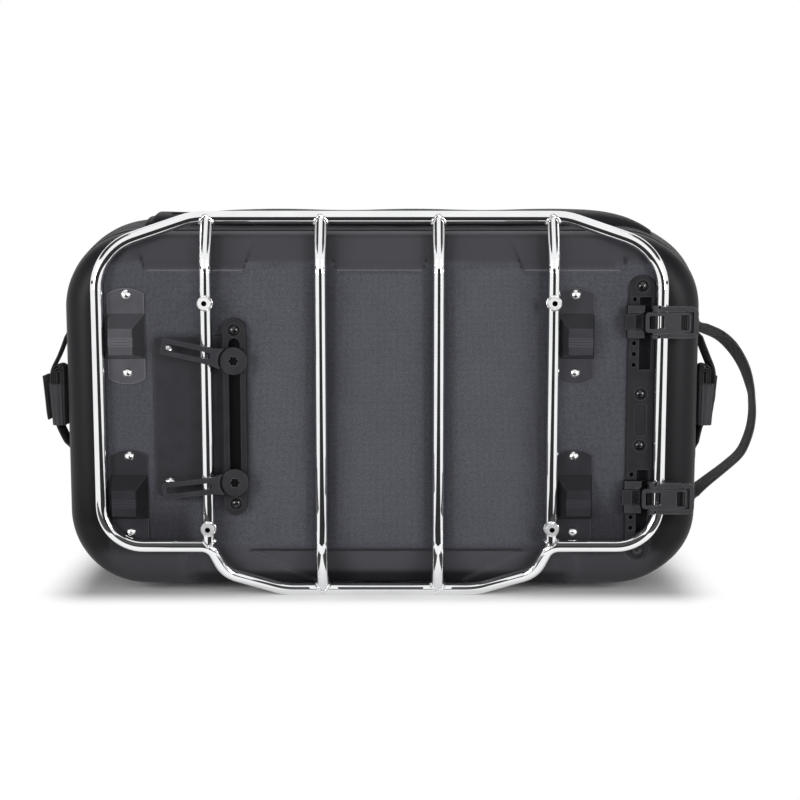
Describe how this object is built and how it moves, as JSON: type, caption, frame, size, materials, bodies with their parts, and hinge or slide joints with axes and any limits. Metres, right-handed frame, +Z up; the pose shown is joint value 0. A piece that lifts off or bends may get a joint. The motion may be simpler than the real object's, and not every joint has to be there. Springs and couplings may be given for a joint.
{
  "type": "luggage rack with clamped bag",
  "caption": "Bent-tube luggage rack with cross bars, held to a semi-rigid bag by slotted clamp arms on one side and sliding tube latches on the other.",
  "frame": {"origin": "centre of the four mounting boss faces", "axes": "+X along the long side, +Y from the boss faces into the bag, +Z up as it stands in the picture"},
  "size_m": [0.7664, 0.2834, 0.3998],
  "materials": {
    "chromed_tube": "mirror chrome",
    "bag_cloth": "dark woven cloth on a moulded shell",
    "piping": "satin black",
    "tape": "fine woven black",
    "webbing": "ribbed black webbing",
    "bright_rivet": "polished",
    "dark_fastener": "gloss black",
    "steel": "satin",
    "zip_metal": "satin black",
    "panel": "smooth, low sheen",
    "moulding": "fine moulded texture"
  },
  "bodies": {
    "rack_and_bag": {"base_stiffener": "panel", "base_tray": "bag_cloth", "body_wall": "bag_cloth", "cross_bar_1": "chromed_tube", "cross_bar_2": "chromed_tube", "cross_bar_3": "chromed_tube", "cross_bar_4": "chromed_tube", "foot_lower_left": "moulding", "foot_lower_right": "moulding", "foot_rivets": "bright_rivet", "foot_upper_left": "moulding", "foot_upper_right": "moulding", "handle_anchors": "webbing", "hinge_tape": "tape", "index_rail": "moulding", "index_rail_rivets": "dark_fastener", "left_strap": "webbing", "left_strap_bundle": "webbing", "mounting_bosses": "chromed_tube", "panel_rivets": "bright_rivet", "perimeter_rail": "chromed_tube", "piping": "piping", "right_strap": "webbing", "right_strap_bundle": "webbing", "rivet_washers": "steel", "side_handle": "webbing", "side_pocket": "bag_cloth", "slotted_bar": "moulding", "slotted_bar_rivets": "dark_fastener", "strap_keepers": "webbing", "wear_panel": "panel", "zip_tape": "tape"},
    "upper_carriage": {"upper_carriage": "moulding", "upper_gate_pin": "steel"},
    "upper_index_catch": {"upper_index_catch": "moulding"},
    "upper_gate": {"upper_gate": "moulding", "upper_lever_pin": "steel"},
    "upper_lever": {"upper_lever": "moulding"},
    "upper_clamp_bolt": {"upper_clamp_bolt": "dark_fastener", "upper_clamp_nut": "steel"},
    "upper_arm": {"upper_arm": "moulding"},
    "lower_carriage": {"lower_carriage": "moulding", "lower_gate_pin": "steel"},
    "lower_index_catch": {"lower_index_catch": "moulding"},
    "lower_gate": {"lower_gate": "moulding", "lower_lever_pin": "steel"},
    "lower_lever": {"lower_lever": "moulding"},
    "lower_clamp_bolt": {"lower_clamp_bolt": "dark_fastener", "lower_clamp_nut": "steel"},
    "lower_arm": {"lower_arm": "moulding"},
    "lid": {"lid": "bag_cloth"},
    "left_zip_slider": {"left_zip_slider": "zip_metal"},
    "left_zip_pull": {"left_zip_pull": "zip_metal"},
    "right_zip_slider": {"right_zip_slider": "zip_metal"},
    "right_zip_pull": {"right_zip_pull": "zip_metal"}
  },
  "joints": [
    {"name": "upper_carriage_slide", "type": "slide", "parent": "rack_and_bag", "child": "upper_carriage", "axis": [0, 0, 1], "range_m": [-0.0333, 0.0111]},
    {"name": "upper_catch_rock", "type": "hinge", "parent": "upper_carriage", "child": "upper_index_catch", "pos_m": [0.2615, 0.0108, 0.0963], "axis": [0, 0, 1], "range_deg": [0, 20], "stiffness_Nm_per_rad": 0.02},
    {"name": "upper_gate_swing", "type": "hinge", "parent": "upper_carriage", "child": "upper_gate", "pos_m": [0.276, 0.0038, 0.0963], "axis": [0, 0, 1], "range_deg": [-95, 0]},
    {"name": "upper_lever_swing", "type": "hinge", "parent": "upper_gate", "child": "upper_lever", "pos_m": [0.3065, 0.0034, 0.0963], "axis": [0, 0, 1], "range_deg": [0, 100]},
    {"name": "upper_bolt_slide", "type": "slide", "parent": "rack_and_bag", "child": "upper_clamp_bolt", "axis": [0, 0, 1], "range_m": [-0.025, 0.01]},
    {"name": "upper_arm_swing", "type": "hinge", "parent": "upper_clamp_bolt", "child": "upper_arm", "pos_m": [-0.147, 0.00365, 0.057], "axis": [0, 1, 0], "range_deg": [-25, 25]},
    {"name": "lower_carriage_slide", "type": "slide", "parent": "rack_and_bag", "child": "lower_carriage", "axis": [0, 0, 1], "range_m": [0, 0.0111]},
    {"name": "lower_catch_rock", "type": "hinge", "parent": "lower_carriage", "child": "lower_index_catch", "pos_m": [0.2615, 0.0108, -0.0826], "axis": [0, 0, 1], "range_deg": [0, 20], "stiffness_Nm_per_rad": 0.02},
    {"name": "lower_gate_swing", "type": "hinge", "parent": "lower_carriage", "child": "lower_gate", "pos_m": [0.276, 0.0038, -0.0826], "axis": [0, 0, 1], "range_deg": [-95, 0]},
    {"name": "lower_lever_swing", "type": "hinge", "parent": "lower_gate", "child": "lower_lever", "pos_m": [0.3065, 0.0034, -0.0826], "axis": [0, 0, 1], "range_deg": [0, 100]},
    {"name": "lower_bolt_slide", "type": "slide", "parent": "rack_and_bag", "child": "lower_clamp_bolt", "axis": [0, 0, 1], "range_m": [-0.003, 0.025]},
    {"name": "lower_arm_swing", "type": "hinge", "parent": "lower_clamp_bolt", "child": "lower_arm", "pos_m": [-0.147, 0.00365, -0.067], "axis": [0, 1, 0], "range_deg": [-25, 25]},
    {"name": "lid_swing", "type": "hinge", "parent": "rack_and_bag", "child": "lid", "pos_m": [0, 0.23715, 0.1875], "axis": [1, 0, 0], "range_deg": [0, 110]},
    {"name": "left_zip_slide", "type": "slide", "parent": "rack_and_bag", "child": "left_zip_slider", "axis": [0, 0, 1], "range_m": [-0.12, 0.06]},
    {"name": "left_pull_swing", "type": "hinge", "parent": "left_zip_slider", "child": "left_zip_pull", "pos_m": [-0.3296, 0.23385, 0.02675], "axis": [0, 1, 0], "range_deg": [0, 100]},
    {"name": "right_zip_slide", "type": "slide", "parent": "rack_and_bag", "child": "right_zip_slider", "axis": [0, 0, 1], "range_m": [-0.12, 0.06]},
    {"name": "right_pull_swing", "type": "hinge", "parent": "right_zip_slider", "child": "right_zip_pull", "pos_m": [0.3296, 0.23385, 0.02675], "axis": [0, -1, 0], "range_deg": [0, 100]}
  ]
}
